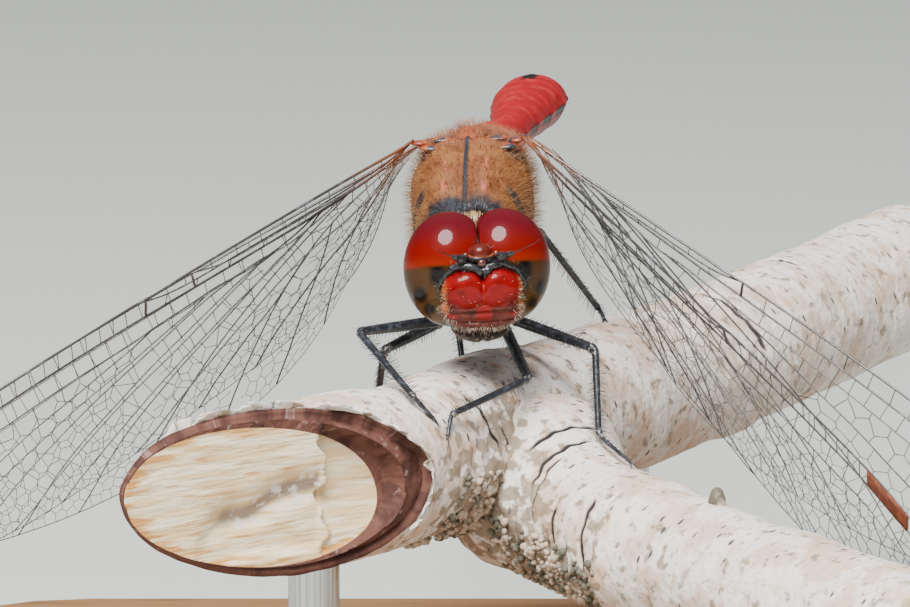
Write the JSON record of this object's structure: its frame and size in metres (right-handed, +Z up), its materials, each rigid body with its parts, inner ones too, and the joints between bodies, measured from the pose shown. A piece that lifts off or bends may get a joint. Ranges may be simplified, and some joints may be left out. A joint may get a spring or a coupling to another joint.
{
  "type": "dragonfly",
  "caption": "Life-size still model of a male ruddy darter dragonfly settled on a forked twig, wings swept forward and down, held up by a plain flat stand.",
  "frame": {"origin": "the middle of the underside of the stand's base, at floor level", "axes": "+Z up out of the base, the insect's head towards -Y and its tail towards +Y, +X to the right as it is seen from the front"},
  "size_m": [0.054, 0.0607, 0.0296],
  "materials": {
    "eye": "glossy, faceted like a compound eye",
    "face": "glossy",
    "dark": "satin, dark",
    "thorax": "satin under short hair",
    "abdomen": "satin",
    "wing": "clear and veined",
    "leg": "glossy black",
    "bark": "rough bark and bare cut wood",
    "wood": "matt lacquer",
    "steel": "brushed"
  },
  "bodies": {
    "root": {"abdomen_01": "abdomen", "abdomen_02": "abdomen", "abdomen_03": "abdomen", "abdomen_04": "abdomen", "abdomen_05": "abdomen", "abdomen_06": "abdomen", "abdomen_07": "abdomen", "abdomen_08": "abdomen", "abdomen_09": "abdomen", "abdomen_10": "abdomen", "antenna_left": "dark", "antenna_right": "dark", "cercus_left": "abdomen", "cercus_right": "abdomen", "clypeus": "face", "coxa_front_left": "dark", "coxa_front_right": "dark", "coxa_hind_left": "dark", "coxa_hind_right": "dark", "coxa_middle_left": "dark", "coxa_middle_right": "dark", "eye_left": "eye", "eye_right": "eye", "femur_front_left": "leg", "femur_front_right": "leg", "femur_hind_left": "leg", "femur_hind_right": "leg", "femur_middle_left": "leg", "femur_middle_right": "leg", "frons": "face", "head_capsule": "dark", "labium": "dark", "labrum": "face", "perch_shoot": "bark", "perch_stem": "bark", "prothorax": "thorax", "stand_base": "wood", "stand_rod_back": "steel", "stand_rod_front": "steel", "tarsus_front_left": "leg", "tarsus_front_right": "leg", "tarsus_hind_left": "leg", "tarsus_hind_right": "leg", "tarsus_middle_left": "leg", "tarsus_middle_right": "leg", "thorax": "thorax", "tibia_front_left": "leg", "tibia_front_right": "leg", "tibia_hind_left": "leg", "tibia_hind_right": "leg", "tibia_middle_left": "leg", "tibia_middle_right": "leg", "vertex": "dark", "wing_fore_left": "wing", "wing_fore_right": "wing", "wing_hind_left": "wing", "wing_hind_right": "wing"}
  },
  "joints": []
}
